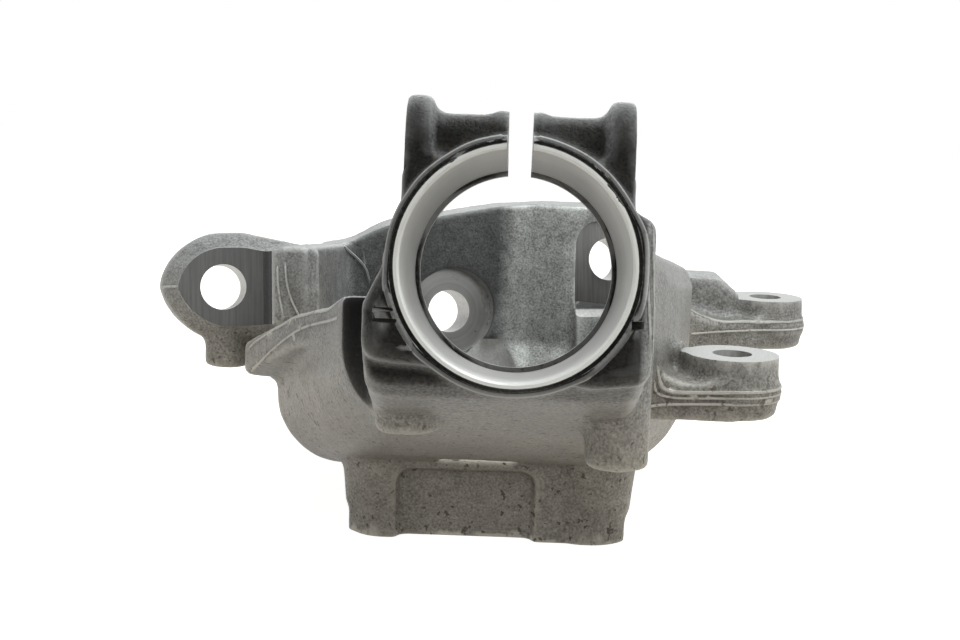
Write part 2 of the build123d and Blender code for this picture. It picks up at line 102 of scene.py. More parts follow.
TIE_ROD_STEP = 17.6          # hole's centre to the wall of the milled step
STEP_RADIUS = 3.6            # round inner corner of that step
BALL_HOLE = 9.0
MID_BALL_SEAT = 18.0
REAR_SEAT = (16.2, 24, 15.8, 21, 10)     # reach left, right, up and down, and its corner
LEDGE_TILT = 35              # slope of the ledge below the rear seat, in degrees
CALIPER_HOLE = 6.0
CALIPER_FACE = 71.4
CALIPER_THICK = 18.4
CALIPER_EAR = 14.6
CALIPER_NEAR = (72.8, -79.8)
CALIPER_FAR = (106.1, 48.1)
RELIEF_CENTRE = (0.5, 90.0)  # round relief in the floor below the ball seats
RELIEF_RADIUS = 12.0
RELIEF_TOP = 42.0


def seat_frame(centre, yaw, drop):
    """Axes of a milled seat: X level, Z out of the face towards the strut end."""
    a, b = math.radians(yaw), math.radians(drop)
    z = -Vector((-math.sin(a) * math.cos(b), math.cos(a) * math.cos(b), -math.sin(b)))
    x = Vector((math.cos(a), math.sin(a), 0))
    y = z.cross(x)
    m = Matrix((x, y, z)).transposed().to_4x4()
    m.translation = Vector(centre)
    return m


WORLD = Matrix.Identity(4)
CLAMP = seat_frame((3.4, -181.9, 108.6), -1.4, 8.6)
TIE_ROD = seat_frame((-95.0, -8.9, 76.1), 15, 9)
MID_BALL = seat_frame((-17.9, 101.8, 53.0), 15, 9)
REAR_BALL = seat_frame((49.6, 105.7, 77.2), 15, 9)
SWAP_X_Z = Matrix(((0, 0, 1, 0), (0, 1, 0, 0), (1, 0, 0, 0), (0, 0, 0, 1)))
LEDGE = (REAR_BALL @ Matrix.Translation((0, -REAR_SEAT[3], 0))
         @ Matrix.Rotation(math.radians(LEDGE_TILT), 4, "X") @ SWAP_X_Z)
STEP_SIDE = TIE_ROD @ Matrix.Rotation(math.pi / 2, 4, "X")
PINCH = (CLAMP @ Matrix.Translation((0, PINCH_RISE, -CLAMP_LENGTH / 2))
         @ Matrix.Rotation(math.pi / 2, 4, "Y"))


# ---- thin forms of the casting ----
def arc(centre, radius, start, end, z, steps=24):
    """Points of a level arc between two angles in degrees."""
    angles = [math.radians(start + (end - start) * t / steps) for t in range(steps + 1)]
    return [(centre[0] + radius * math.cos(a), centre[1] + radius * math.sin(a), z) for a in angles]


def grooves():
    """(path, radius) of the round-bottomed grooves in the clamp's end, on the clamp's axes."""
    round_mouth = arc((0, 0), BORE + 1.9, 96, 444, -0.1, 120)
    left_upper = [(-36, -11.3, -0.2), (-28.4, -11.3, -0.1)]
    left_lower = [(-36, -13.9, -0.2), (-27.6, -13.9, -0.1)]
    right_slot = [(27.6, -12.9, 0), (30.6, -12.9, 0)]
    return [(round_mouth, 0.6), (left_upper, 0.6), (left_lower, 0.6), (right_slot, 1.2)]


def ridges():
    """(path, radius) of the flash lines and beads, in world millimetres. They are seated on the skin."""
    near, far = CALIPER_NEAR, CALIPER_FAR
    bead = [CLAMP @ Vector(q) for q in arc((0, 0), BORE + 3.2, 97, 443, -1.3, 120)]
    near_upper = [(47.9, -97.6, 70), (48.8, -94.4, 65.2), (50.2, -94.4, 62.8), (53, -94.4, 61.7),
                  (64, -94.5, 61.9)] + arc(near, 15.2, -90, 90, 62.3)
    near_middle = [(46.6, -97.0, 66), (47.4, -94.6, 62.4), (49.6, -94.4, 60.6), (54, -94.4, 60.0),
                   (64, -94.5, 60.2)] + arc(near, 15.2, -90, 60, 60.6)
    near_lower = [(42, -95, 57.0), (48.4, -94.2, 57.6), (55.7, -94.3, 58.1),
                  (64.6, -94.3, 58.4)] + arc(near, 15.0, -90, 90, 58.7)
    far_upper = [(73, 24.5, 70.5), (76, 25, 67.6), (80, 26, 65.6), (86, 27, 64.4),
                 (96, 30.5, 63.9)] + arc(far, 15.2, -80, 90, 63.9)
    far_lower = [(74, 23, 60.0), (80, 24.5, 60.3), (88, 27, 60.6),
                 (97.9, 30.6, 60.7)] + arc(far, 15.0, -80, 90, 60.8)
    nose_upper = [(-80.9, -40.3, 60.3), (-77.7, -46.3, 64), (-73.7, -53.9, 67.4), (-66, -68.2, 74),
                  (-58.8, -81.7, 79.2), (-49.8, -101, 84.5), (-41.8, -121, 90.5)]
    nose_lower = [(-80.5, -37, 51.8), (-77.6, -46.1, 55.6), (-73.6, -54.1, 60.3), (-65.9, -68.4, 68.3),
                  (-58.7, -81.9, 74.7), (-51.9, -94.7, 78.8), (-44.1, -118, 84.5)]
    flank_front = [(33.9, -181.0, 112), (34.4, -181.4, 104.1), (34.8, -181.8, 99.4), (35.4, -182.2, 92.3)]
    flank_back = [(35.2, -177.8, 119.7), (35.6, -179.4, 113.2), (36.2, -179.8, 103.9), (36.4, -180.4, 95),
                  (36.4, -181, 88)]
    arm_outer = [(-76.5, -7.5, 84), (-75.8, -8.0, 75.6), (-74.0, -8.8, 67)]
    arm_inner = [(-73.6, -8.0, 85), (-72.8, -8.0, 77.4), (-70.9, -8.0, 71.5), (-68, -8, 66)]
    lug_tip = [TIE_ROD @ Vector(q)
               for q in ((-21.4, 0.2, -10), (-21.0, 0.2, -8), (-18.2, 0.2, -4), (-15.9, 0.2, -0.6))]
    arm_root = [(-60, 71.8, 82.8), (-57.8, 80.1, 78.6), (-54.8, 83.7, 75), (-52.4, 85.3, 71.5),
                (-51, 86, 66)]
    return [(bead, 0.95), (near_upper, 0.75), (near_middle, 0.5), (near_lower, 0.55), (far_upper, 0.75),
            (far_lower, 0.55), (nose_upper, 0.6), (nose_lower, 0.6), (flank_front, 0.6), (flank_back, 0.55),
            (arm_outer, 0.5), (arm_inner, 0.5), (lug_tip, 0.55), (arm_root, 0.9)]


def spline(points, step=1.0):
    """Even points on a smooth line through the given ones."""
    points = [Vector(q) for q in points]
    if len(points) == 2:
        return points
    ends = [points[0] * 2 - points[1]] + points + [points[-1] * 2 - points[-2]]
    line = []
    for a, b, c, d in zip(ends, ends[1:], ends[2:], ends[3:]):
        count = max(1, round((c - b).length / step))
        for i in range(count):
            t = i / count
            line.append(0.5 * (2 * b + (c - a) * t + (2 * a - 5 * b + 4 * c - d) * t * t
                               + (3 * b - a - 3 * c + d) * t ** 3))
    return line + [points[-1]]


def tube(line, radius, sides=8):
    """Closed round bar along a line of points, thinner at its ends."""
    bm = bmesh.new()
    rings = []
    side = None
    for i, point in enumerate(line):
        along = (line[min(i + 1, len(line) - 1)] - line[max(i - 1, 0)]).normalized()
        side = (along.orthogonal() if side is None else side - along * side.dot(along)).normalized()
        up = along.cross(side)
        size = radius * (0.45 if len(line) > 4 and i in (0, len(line) - 1) else 1.0)
        rings.append([bm.verts.new((point + (side * math.cos(a) + up * math.sin(a)) * size) * MM)
                      for a in (k * math.tau / sides for k in range(sides))])
    for low, high in zip(rings, rings[1:]):
        for k in range(sides):
            j = (k + 1) % sides
            bm.faces.new((low[k], low[j], high[j], high[k]))
    bm.faces.new(rings[0][::-1])
    bm.faces.new(rings[-1])
    bmesh.ops.recalc_face_normals(bm, faces=bm.faces)
    return bm


def seated(tree, path, radius, sunk=0.4, passes=8):
    """The path laid on the skin and smoothed. Its bar is sunk by a share of its radius."""
    line = []
    for point in spline(path):
        where, normal, _, _ = tree.find_nearest(point * MM)
        line.append(where / MM - normal * radius * sunk)
    for _ in range(passes):
        middle = [(a + b * 2 + c) / 4 for a, b, c in zip(line, line[1:], line[2:])]
        line = [line[0]] + middle + [line[-1]]
    return line


# ---- solids ----
def prism(axes, outline, top, bottom):
    """Closed prism on a set of axes from an outline of (x, y) points."""
    bm = bmesh.new()
    low = [bm.verts.new(axes @ Vector((x, y, bottom)) * MM) for x, y in outline]
    high = [bm.verts.new(axes @ Vector((x, y, top)) * MM) for x, y in outline]
    bm.faces.new(low[::-1])
    bm.faces.new(high)
    for i in range(len(outline)):
        j = (i + 1) % len(outline)
        bm.faces.new((low[i], low[j], high[j], high[i]))
    bmesh.ops.recalc_face_normals(bm, faces=bm.faces)
    return bm


def circle(radius, centre=(0, 0), steps=144):
    return [(centre[0] + radius * math.cos(t * math.tau / steps),
             centre[1] + radius * math.sin(t * math.tau / steps)) for t in range(steps)]


def drum(axes, radius, top, bottom, centre=(0, 0)):
    return prism(axes, circle(radius, centre), top, bottom)


def block(axes, x, y, z):
    return prism(axes, [(x[0], y[0]), (x[1], y[0]), (x[1], y[1]), (x[0], y[1])], z[1], z[0])


def cone(axes, top_radius, bottom_radius, top, bottom):
    """Closed cone frustum: a drum whose bottom ring is scaled."""
    bm = drum(axes, top_radius, top, bottom)
    inverse = axes.inverted()
    for v in bm.verts:
        p = inverse @ (v.co / MM)
        if abs(p.z - bottom) < 1e-4:
            p.x, p.y = p.x * bottom_radius / top_radius, p.y * bottom_radius / top_radius
            v.co = (axes @ p) * MM
    return bm


def rounded_seat(left, right, up, down, corner, steps=16):
    """Outline of the D-shaped rear seat: its upper left corner is round."""
    turn = [t * math.pi / 2 / steps for t in range(steps + 1)]
    bend = [(-left + corner - corner * math.cos(a), up - corner + corner * math.sin(a)) for a in turn]
    return [(right, up), (right, -down), (-left, -down)] + bend


def step_profile(steps=12):
    """Side view of the cutter that mills the lug's face: its lower corner is rounded."""
    wall, r = TIE_ROD_STEP, STEP_RADIUS
    length, height = 60, 20
    turn = [t * math.pi / 2 / steps for t in range(steps + 1)]
    bend = [(wall - r + r * math.sin(a), r - r * math.cos(a)) for a in turn]
    return [(wall - length, 0)] + bend + [(wall, height), (wall - length, height)]


def bolt_places():
    return [(x, y) for x in (-BOLT_HALF, BOLT_HALF) for y in (-BOLT_HALF, BOLT_HALF)]


def cuts():
    """Every machining cut, as closed solids. Cutters reach past the part where they leave it."""
    # Near the slit the bolt's hole is flat below, so that it doesn't break into the strut bore.
    clear = [(x, max(y, PINCH_FLOOR)) for x, y in circle(PINCH_HOLE)]
    half_slit = SLIT_WIDTH / 2
    out = [
        drum(CLAMP, BORE + MOUTH, 3, -MOUTH_DEPTH),
        cone(CLAMP, BORE + BORE_CHAMFER + 1, BORE - 0.5, 1, -BORE_CHAMFER - 0.5),
        drum(CLAMP, BORE, 1, -CLAMP_LENGTH + CLAMP_LIP_WIDTH),
        drum(CLAMP, BORE - CLAMP_LIP, 1, -CLAMP_LENGTH - 3),
        block(CLAMP, (-half_slit, half_slit), (0, 80), (-CLAMP_LENGTH - 8, 4)),
        prism(PINCH, clear, 40, -40),
        drum(PINCH, PINCH_HOLE, -PINCH_CLEAR, -40),
        drum(PINCH, PINCH_HOLE, 40, PINCH_CLEAR),
        drum(PINCH, PINCH_HEAD + 2, -PINCH_SPAN, -45),
        drum(PINCH, PINCH_HEAD + 2, 45, PINCH_SPAN),
        block(WORLD, (-90, 90), (-90, 90), (-20, 0)),
        drum(WORLD, BEARING_BORE, CARRIER_TOP + 4, -5),
    ]
    for place in bolt_places():
        out.append(drum(WORLD, BOLT_HOLE, CARRIER_TOP + 4, -5, place))
        out.append(drum(WORLD, BOLT_SEAT, CARRIER_TOP + 15, CARRIER_TOP - BOLT_SEAT_DEPTH, place))
    for place in (CALIPER_NEAR, CALIPER_FAR):
        out.append(drum(WORLD, CALIPER_HOLE, CALIPER_FACE + 10, CALIPER_FACE - CALIPER_THICK - 12, place))
        out.append(drum(WORLD, CALIPER_EAR + 1, CALIPER_FACE + 20, CALIPER_FACE, place))
    out.append(drum(TIE_ROD, TIE_ROD_HOLE, 12, -STUD_LENGTH - 20))
    out.append(prism(STEP_SIDE, step_profile(), 30, -30))
    for seat in (TIE_ROD, MID_BALL, REAR_BALL):
        out.append(drum(seat, STUD_BOSS, -STUD_LENGTH, -STUD_LENGTH - 30))
    out.append(block(MID_BALL, (-75, 5), (-80, 80), (-STUD_LENGTH - 42, -STUD_LENGTH - RUN_OUT)))
    out.append(drum(MID_BALL, BALL_HOLE, 12, -STUD_LENGTH - 20))
    out.append(drum(MID_BALL, MID_BALL_SEAT, 30, 0))
    out.append(drum(REAR_BALL, BALL_HOLE, 12, -STUD_LENGTH - 20))
    out.append(prism(REAR_BALL, rounded_seat(*REAR_SEAT), 14, 0))
    out.append(prism(LEDGE, [(0, 0), (14, 0), (14, 16), (0, 16)], REAR_SEAT[1], -REAR_SEAT[0]))
    out.append(drum(WORLD, RELIEF_RADIUS, RELIEF_TOP, CARRIER_TOP, RELIEF_CENTRE))
    for path, radius in grooves():
        out.append(tube([CLAMP @ Vector(q) for q in path], radius))
    return out


def plane(axes, z, reach, centre=(0, 0), flip=False):
    """A milled plane: a point on it, its outward normal, and how far round the point it runs."""
    n = axes.to_3x3() @ Vector((0, 0, -1 if flip else 1))
    return {"o": axes @ Vector((centre[0], centre[1], z)), "n": n, "reach": reach}


def milled_planes():
    """Milled faces, with their finish."""
    side = CLAMP @ Matrix.Rotation(math.pi / 2, 4, "Y")
    half = SLIT_WIDTH / 2
    return {
        "step": [plane(LEDGE @ Matrix.Rotation(-math.pi / 2, 4, "X"), 0, 26)],
        "slit": [plane(side, half, 70, flip=True), plane(side, -half, 70)],
        "foot": [plane(WORLD, 0, 90, flip=True)],
        "ears": [plane(WORLD, CALIPER_FACE, 17, place) for place in (CALIPER_NEAR, CALIPER_FAR)],
        "lug": [plane(TIE_ROD, 0, 32), plane(TIE_ROD, -STUD_LENGTH, 15.5, flip=True)],
        "seat": [plane(MID_BALL, 0, 18.5)],
        "ball": [plane(REAR_BALL, 0, 34),
                 plane(MID_BALL, -STUD_LENGTH, 15.5, flip=True),
                 plane(REAR_BALL, -STUD_LENGTH, 15.5, flip=True),
                 plane(MID_BALL, -STUD_LENGTH - RUN_OUT, 60, flip=True)],
        "pinch": [plane(PINCH, PINCH_SPAN, 16), plane(PINCH, -PINCH_SPAN, 16, flip=True)],
        "bolt": [plane(WORLD, CARRIER_TOP - BOLT_SEAT_DEPTH, 10.6, place) for place in bolt_places()],
    }


def tubes():
    """Bored surfaces: (axes, radius, top, bottom, centre, finish)."""
    out = [(CLAMP, BORE, 1, -CLAMP_LENGTH + CLAMP_LIP_WIDTH, (0, 0), "bore"),
           (CLAMP, BORE - CLAMP_LIP, -CLAMP_LENGTH + CLAMP_LIP_WIDTH, -CLAMP_LENGTH - 3, (0, 0), "bore"),
           (PINCH, PINCH_HOLE, 40, -40, (0, 0), "drill"),
           (WORLD, BEARING_BORE, CARRIER_TOP + 4, -1, (0, 0), "bore"),
           (TIE_ROD, TIE_ROD_HOLE, 2, -STUD_LENGTH - 4, (0, 0), "drill"),
           (MID_BALL, BALL_HOLE, 2, -STUD_LENGTH - 4, (0, 0), "drill"),
           (REAR_BALL, BALL_HOLE, 2, -STUD_LENGTH - 4, (0, 0), "drill"),
           (MID_BALL, MID_BALL_SEAT, 30, 0, (0, 0), "seat"),
           (STEP_SIDE, STEP_RADIUS, 30, -30, (TIE_ROD_STEP - STEP_RADIUS, STEP_RADIUS), "step"),
           (WORLD, RELIEF_RADIUS, RELIEF_TOP, CARRIER_TOP, RELIEF_CENTRE, "step")]
    for place in (CALIPER_NEAR, CALIPER_FAR):
        out.append((WORLD, CALIPER_HOLE, CALIPER_FACE + 1, CALIPER_FACE - CALIPER_THICK - 8, place, "drill"))
    for place in bolt_places():
        out.append((WORLD, BOLT_HOLE, CARRIER_TOP, -1, place, "drill"))
    return out


def raise_stock(bm, face_plane, thick):
    """Prism of casting over one milled face of the CAD mesh."""
    o, n, reach = face_plane["o"] * MM, face_plane["n"], face_plane["reach"] * MM
    parallel, touching = 0.9995, 2e-5
    picked = []
    for f in bm.faces:
        away = f.calc_center_median() - o
        if f.normal.dot(n) > parallel and abs(away.dot(n)) < touching and away.length < reach:
            picked.append(f)
    low, high = {}, {}
    for f in picked:
        for v in f.verts:
            if v not in low:
                low[v] = bm.verts.new(v.co - n * STOCK_ROOT * MM)
                high[v] = bm.verts.new(v.co + n * thick * MM)
    count = {}
    for f in picked:
        for e in f.edges:
            count[e] = count.get(e, 0) + 1
    for f in picked:
        ring = [loop.vert for loop in f.loops]
        bm.faces.new([high[v] for v in ring])
        bm.faces.new([low[v] for v in reversed(ring)])
        for a, b in zip(ring, ring[1:] + ring[:1]):
            if count[bm.edges.get((a, b))] == 1:
                bm.faces.new((low[a], low[b], high[b], high[a]))


def unmachined():
    """The rough casting: CAD solid, stock on its milled faces and plugs in its bores."""
    bm = bmesh.new()
    bm.from_mesh(CAD.data)
    bmesh.ops.remove_doubles(bm, verts=bm.verts, dist=2e-6)
    bm.normal_update()
    thick = {"slit": SLIT_WIDTH / 2 + THIN_STOCK, "pinch": THIN_STOCK, "step": THIN_STOCK}
    for name, planes in milled_planes().items():
        for p in planes:
            raise_stock(bm, p, thick.get(name, STOCK))
    plugs = [drum(CLAMP, BORE + 1.2, -0.2, -CLAMP_LENGTH + 1.5),
             drum(PINCH, PINCH_HOLE + PLUG, PINCH_SPAN + 2, -PINCH_SPAN - 2),
             drum(WORLD, BEARING_BORE + PLUG, CARRIER_TOP, -STOCK)]
    for seat, radius in ((TIE_ROD, TIE_ROD_HOLE), (MID_BALL, BALL_HOLE), (REAR_BALL, BALL_HOLE)):
        plugs.append(drum(seat, radius + PLUG, STOCK, -STUD_LENGTH - STOCK))
    for place in (CALIPER_NEAR, CALIPER_FAR):
        top, bottom = CALIPER_FACE + STOCK, CALIPER_FACE - CALIPER_THICK
        plugs.append(drum(WORLD, CALIPER_HOLE + PLUG, top, bottom, place))
    for place in bolt_places():
        plugs.append(drum(WORLD, BOLT_HOLE + PLUG, CARRIER_TOP, -STOCK, place))
    for plug in plugs:
        part = bpy.data.meshes.new("plug")
        plug.to_mesh(part)
        plug.free()
        bm.from_mesh(part)
        bpy.data.meshes.remove(part)
    mesh = bpy.data.meshes.new("rough")
    bm.to_mesh(mesh)
    bm.free()
    return mesh


def coordinates(items, name, dtype=np.float32):
    """(n, 3) array of one vector attribute of a mesh's vertices or polygons."""
    values = np.empty(len(items) * 3, dtype)
    items.foreach_get(name, values)
    return values.reshape(-1, 3)


def keep_in_box(mesh, co):
    """Writes the vertices back, held inside the CAD's box."""
    co = np.clip(co, np.array(CAD_BOX[0]), np.array(CAD_BOX[1])).astype(np.float32)
    mesh.vertices.foreach_set("co", co.ravel())
    mesh.update()


def applied(obj):
    """The object's mesh with its modifiers applied."""
    dg = bpy.context.evaluated_depsgraph_get()
    mesh = bpy.data.meshes.new_from_object(obj.evaluated_get(dg))
    old = obj.data
    obj.modifiers.clear()
    obj.data = mesh
    bpy.data.meshes.remove(old)
    return obj


def offset(points, triangles, quads, distance):
    """Surface of the given mesh moved outwards by a distance, through a distance field."""
    grid = openvdb.FloatGrid.createLevelSetFromPolygons(
        points, triangles=triangles, quads=quads, transform=openvdb.createLinearTransform(VOXEL * MM),
        halfWidth=max(3.0, abs(distance) / VOXEL + 2.0))
    return grid.convertToPolygons(isovalue=distance * MM, adaptivity=0.0)


def soften(obj):
    """Foundry radii: hollow corners are filled, outer edges rounded, and the skin waves a little."""
    mesh = obj.data
    bm = bmesh.new()
    bm.from_mesh(mesh)
    bmesh.ops.triangulate(bm, faces=bm.faces)
    points = np.array([v.co for v in bm.verts], np.float32)
    triangles = np.array([[v.index for v in f.verts] for f in bm.faces], np.uint32)
    bm.free()
    quads = np.zeros((0, 4), np.uint32)
    for distance in (FILLET, -FILLET - ROUND, ROUND):
        points, triangles, quads = offset(points, triangles, quads, distance)
    faces = [f[::-1].tolist() for f in triangles] + [f[::-1].tolist() for f in quads]
    mesh = bpy.data.meshes.new("soft")
    mesh.from_pydata(points.tolist(), [], faces)
    old = obj.data
    obj.data = mesh
    bpy.data.meshes.remove(old)
    smooth = obj.modifiers.new("smooth", "SMOOTH")
    smooth.factor = 0.5
    smooth.iterations = 2
    applied(obj)
    mesh = obj.data
    co = coordinates(mesh.vertices, "co")
    normal = coordinates(mesh.vertices, "normal")
    wave = np.array([noise.noise(Vector(p) * SLOW_WAVES) + QUICK_SHARE * noise.noise(Vector(p) * QUICK_WAVES)
                     for p in co.tolist()])
    co += normal * (wave * WAVE * MM)[:, None]
    keep_in_box(mesh, co)
    decimate = obj.modifiers.new("decimate", "DECIMATE")
    decimate.ratio = min(1.0, TRIANGLES / (2.0 * len(mesh.polygons)))
    return applied(obj)


def combine(obj, solids, operation):
    """Adds or cuts each solid in turn."""
    tools = []
    for solid in solids:
        mesh = bpy.data.meshes.new("tool")
        solid.to_mesh(mesh)
        solid.free()
        tool = bpy.data.objects.new("tool", mesh)
        bpy.context.scene.collection.objects.link(tool)
        tools.append(tool)
        cut = obj.modifiers.new("cut", "BOOLEAN")
        cut.operation = operation
        cut.solver = "MANIFOLD"
        cut.object = tool
    bpy.context.view_layer.update()
    applied(obj)
    for tool in tools:
        mesh = tool.data
        bpy.data.objects.remove(tool)
        bpy.data.meshes.remove(mesh)
    return obj


def machine(obj):
    """Flash lines on the rough casting, and then every machining cut."""
    skin = obj.data
    tree = BVHTree.FromPolygons([v.co for v in skin.vertices], [f.vertices for f in skin.polygons])
    combine(obj, [tube(seated(tree, path, radius), radius) for path, radius in ridges()], "UNION")
    combine(obj, cuts(), "DIFFERENCE")
    keep_in_box(obj.data, coordinates(obj.data.vertices, "co"))
    return obj


FINISHES = ["cast", "slit", "foot", "ears", "lug", "ball", "pinch", "bolt", "bore", "drill", "seat", "step",
            "painted_shade"]


def on_axes(points, axes):
    """World points on a seat's own axes, in millimetres."""
    inverse = np.array(axes.inverted())
    return points @ inverse[:3, :3].T + inverse[:3, 3]


def surface_index(mesh):
    """Index into FINISHES of the surface that each polygon lies on."""
    count = len(mesh.polygons)
    centre = coordinates(mesh.polygons, "center", float) / MM
    normal = coordinates(mesh.polygons, "normal", float)
    index = np.zeros(count, np.int32)
    spare, rim = 30, 0.1
    for name, planes in milled_planes().items():
        for p in planes:
            o, n = np.array(p["o"]), np.array(p["n"])
            away = centre - o
            hit = (np.abs(away @ n) < ON_SURFACE) & (normal @ n > 0.99)
            hit &= np.linalg.norm(away, axis=1) < p["reach"] + spare
            index[hit] = FINISHES.index(name)
    corner = coordinates(mesh.vertices, "co", float) / MM
    loops = np.empty(len(mesh.loops), np.int32)
    mesh.loops.foreach_get("vertex_index", loops)
    start = np.empty(count, np.int32)
    mesh.polygons.foreach_get("loop_start", start)
    for axes, radius, top, bottom, place, name in tubes():
        local = on_axes(corner, axes)
        far = np.hypot(local[:, 0] - place[0], local[:, 1] - place[1])
        near = (np.abs(far - radius) < ON_SURFACE) & (local[:, 2] < top + rim) & (local[:, 2] > bottom - rim)
        index[np.logical_and.reduceat(near[loops], start)] = FINISHES.index(name)
    at = on_axes(centre, CLAMP)
    chamfer = np.hypot(at[:, 0], at[:, 1]) < BORE + BORE_CHAMFER + rim
    chamfer &= np.abs(at[:, 2] + BORE_CHAMFER) < BORE_CHAMFER + rim
    index[chamfer] = FINISHES.index("bore")
    # Painted shade: by the lug, where the step's round corner turns to face out of the lug's face, it gets a
    # nearly black finish instead of the bright one.
    turned_up = normal @ np.array(TIE_ROD.col[2][:3]) > 0.6
    by_lug = centre[:, 0] < -60
    index[(index == FINISHES.index("step")) & turned_up & by_lug] = FINISHES.index("painted_shade")
    return index


def paint(obj, materials):
    """Gives each polygon the material of the surface it lies on, and keeps machined edges crisp."""
    mesh = obj.data
    mesh.materials.clear()
    for m in materials:
        mesh.materials.append(m)
    index = surface_index(mesh)
    mesh.polygons.foreach_set("material_index", index)
    mesh.polygons.foreach_set("use_smooth", np.ones(len(mesh.polygons), bool))
    mesh.set_sharp_from_angle(angle=math.radians(CRISP))
    bm = bmesh.new()
    bm.from_mesh(mesh)
    for e in bm.edges:
        if len({f.material_index for f in e.link_faces}) == 2:
            e.smooth = False
    bm.to_mesh(mesh)
    bm.free()
    return obj


# ---- materials ----
class Nodes:
    """Small wrapper that builds a node tree."""

    def __init__(self, name):
        self.material = bpy.data.materials.new(name)
        self.material.use_nodes = True
        self.tree = self.material.node_tree
        self.shader = self.tree.nodes["Principled BSDF"]
        self.place = self.make("ShaderNodeTexCoord").outputs["Object"]

    def make(self, kind, **inputs):
        node = self.tree.nodes.new(kind)
        for key, value in inputs.items():
            self.put(node.inputs[key.replace("_", " ")], value)
        return node

    def put(self, socket, value):
        if isinstance(value, bpy.types.NodeSocket):
            self.tree.links.new(value, socket)
        else:
            socket.default_value = value

    def local(self, axes):
        """The place on a seat's own axes, in metres."""
        mapping = self.make("ShaderNodeMapping", Vector=self.place)
        mapping.vector_type = "TEXTURE"
        mapping.inputs["Location"].default_value = axes.translation * MM
        mapping.inputs["Rotation"].default_value = axes.to_euler()
        return self.make("ShaderNodeSeparateXYZ", Vector=mapping.outputs["Vector"]).outputs

    def facing(self, direction):
        """How far the skin faces a direction of the part, from -1 to 1."""
        node = self.make("ShaderNodeVectorMath")
        node.operation = "DOT_PRODUCT"
        self.put(node.inputs[0], self.make("ShaderNodeTexCoord").outputs["Normal"])
        node.inputs[1].default_value = direction
        return node.outputs["Value"]

    def axis(self, name):
        return self.make("ShaderNodeSeparateXYZ", Vector=self.place).outputs[name]

    def noise(self, scale, detail=3.0, rough=0.55, place=None):
        node = self.make("ShaderNodeTexNoise", Scale=scale, Detail=detail, Roughness=rough,
                         Vector=place or self.place)
        return node.outputs["Fac"]

    def span(self, value, low, high, out_low=0.0, out_high=1.0):
        """Ramp from out_low to out_high, held at both ends."""
        node = self.make("ShaderNodeMapRange", Value=value, From_Min=low, From_Max=high,
                         To_Min=out_low, To_Max=out_high)
        return node.outputs["Result"]

    def arithmetic(self, kind, a, b):
        node = self.make("ShaderNodeMath")
        node.operation = kind
        self.put(node.inputs[0], a)
        self.put(node.inputs[1], b)
        return node.outputs[0]

    def sum(self, a, b):
        return self.arithmetic("ADD", a, b)

    def product(self, *values):
        total = values[0]
        for value in values[1:]:
            total = self.arithmetic("MULTIPLY", total, value)
        return total

    def blend(self, amount, a, b, kind="MIX"):
        node = self.make("ShaderNodeMix")
        node.data_type = "RGBA"
        node.blend_type = kind
        for socket, value in ((0, amount), (6, a), (7, b)):
            self.put(node.inputs[socket], value)
        return node.outputs[2]

    def tint(self, colour, by):
        return self.blend(1.0, colour, by, "MULTIPLY")

    def bump(self, height, distance, strength=1.0, under=None):
        node = self.make("ShaderNodeBump", Height=height, Distance=distance, Strength=strength)
        if under:
            self.put(node.inputs["Normal"], under)
        return node.outputs["Normal"]


def grey(value, warm=0.0):
    """A grey, a little red for warm above 0 and a little blue below."""
    return (value * (1 + warm), value, value * (1 - warm), 1.0)


# Colour of convex edges: partly wear, partly painted highlight.
EDGE_WEAR_AND_HIGHLIGHT = grey(0.72, 0.0)
# Painted shade for concave creases and hollow corners.
CREASE_PAINTED_SHADE = grey(0.07, 0.05)
FROST = grey(0.66, -0.01)
SPECK = (0.050, 0.034, 0.022, 1.0)
# Painted light: the warm tint of light thrown up from the floor.
WARM_PAINTED_BOUNCE = (1.0, 0.90, 0.76, 1.0)
# Painted shade and painted light: the far wall's inner face is multiplied by these left and right of its
# crease.
WALL_PAINTED_SHADE = (0.36, 0.37, 0.37, 1.0)
WALL_PAINTED_LIGHT = (1.55, 1.57, 1.55, 1.0)


def far_wall_painted_light_and_shade(n, broad, light):
    """Painted shade and painted light on the inner far wall: darker left of its crease and lighter right of
    it, below its pale top.
    """
    inner = n.product(n.span(n.axis("Y"), 0.058, 0.070), n.span(n.facing((0, -1, 0)), 0.3, 0.7),
                      n.span(n.axis("Z"), 0.110, 0.128, 1.0, 0.4))
    wander = n.span(broad, 0.3, 0.7, -0.002, 0.002)
    side = n.span(n.sum(n.axis("X"), wander), 0.002, 0.009)
    return n.blend(inner, light, n.tint(light, n.blend(side, WALL_PAINTED_SHADE, WALL_PAINTED_LIGHT)))


def clamp_end_painted_shade(n):
    """Masks of painted shade: the clamp's end where it faces the front, painted dark, and the hollow on its
    left, painted darker still as a shadow.
    """
    at = n.local(CLAMP)
    front = n.facing(CLAMP.col[2][:3])
    end = n.product(n.span(at["Z"], -0.066, -0.058), n.span(front, 0.05, 0.8),
                    n.span(at["Y"], -0.040, -0.027))
    flank = n.product(n.span(at["X"], 0.0298, 0.0312, 0.0, 0.8), n.span(at["Y"], 0.010, 0.016, 1.0, 0.0))
    end = n.product(end, n.arithmetic("SUBTRACT", 1.0, flank))
    painted_shadow = n.product(n.span(at["Z"], -0.050, -0.054), n.span(at["Z"], -0.074, -0.069),
                     n.span(front, 0.3, 0.6), n.span(at["X"], -0.036, -0.040),
                     n.span(at["Y"], -0.050, -0.036))
    return end, painted_shadow


def specks(n, outer):
    """Brown specks in loose groups: most on the low outer faces, and few inside the shell."""
    spot = n.span(n.noise(480, 2, 0.5), 0.605, 0.66)
    group = n.span(n.noise(120, 1), 0.40, 0.50)
    low = n.span(n.axis("Z"), 0.040, 0.085, 1.0, 0.35)
    return n.product(spot, group, low, n.span(outer, 0.0, 1.0, 0.12, 1.0))


